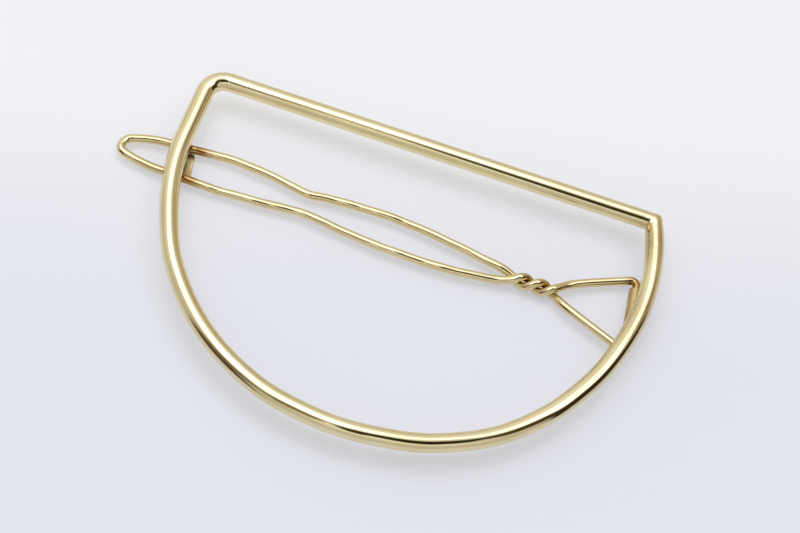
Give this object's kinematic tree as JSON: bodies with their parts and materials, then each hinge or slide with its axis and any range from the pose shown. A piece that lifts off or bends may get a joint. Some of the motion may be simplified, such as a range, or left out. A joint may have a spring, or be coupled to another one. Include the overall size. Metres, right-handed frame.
{
  "type": "hair clip",
  "caption": "Half-moon wire hair clip: a flat D frame with a twisted-wire clasp hinged behind it that snaps onto a hooked catch.",
  "frame": {"origin": "middle of the footprint, at the lowest point, which is the underside of the catch's head", "axes": "+X along the straight bar towards the hinge, +Y from the arc towards the straight bar, +Z out of the front face"},
  "size_m": [0.0704, 0.0434, 0.0047],
  "materials": {
    "frame_gilt": "pale gold plating, polished",
    "tube_gilt": "pale gold plating over a brazed tube",
    "catch_gilt": "pale gold plating over stamped sheet",
    "clasp_gilt": "pale gold plating on drawn spring wire"
  },
  "bodies": {
    "frame": {"frame": "frame_gilt", "hinge_tube": "tube_gilt", "catch": "catch_gilt"},
    "clasp": {"clasp_strand_upper": "clasp_gilt", "clasp_strand_lower": "clasp_gilt", "clasp_tip": "clasp_gilt"},
    "leg_upper": {"clasp_leg_upper": "clasp_gilt"},
    "leg_lower": {"clasp_leg_lower": "clasp_gilt"}
  },
  "joints": [
    {"name": "clasp_swing", "type": "hinge", "parent": "frame", "child": "clasp", "pos_m": [0.0331, 0.00777, 0.00125], "axis": [0.1011, -0.9949, 0], "range_deg": [0, 180]},
    {"name": "leg_spread_upper", "type": "hinge", "parent": "clasp", "child": "leg_upper", "pos_m": [0.01475, 0.00869, 0.00125], "axis": [0, 0, -1], "range_deg": [0, 1], "stiffness_Nm_per_rad": 0.01, "deforming": ["clasp_tip"]},
    {"name": "leg_spread_lower", "type": "hinge", "parent": "clasp", "child": "leg_lower", "pos_m": [0.01475, 0.00656, 0.00115], "axis": [0, 0, 1], "range_deg": [0, 1], "stiffness_Nm_per_rad": 0.01, "deforming": ["clasp_tip"]}
  ],
  "couplings": [
    {"joint": "leg_spread_lower", "follows": "leg_spread_upper", "ratio": 1}
  ]
}
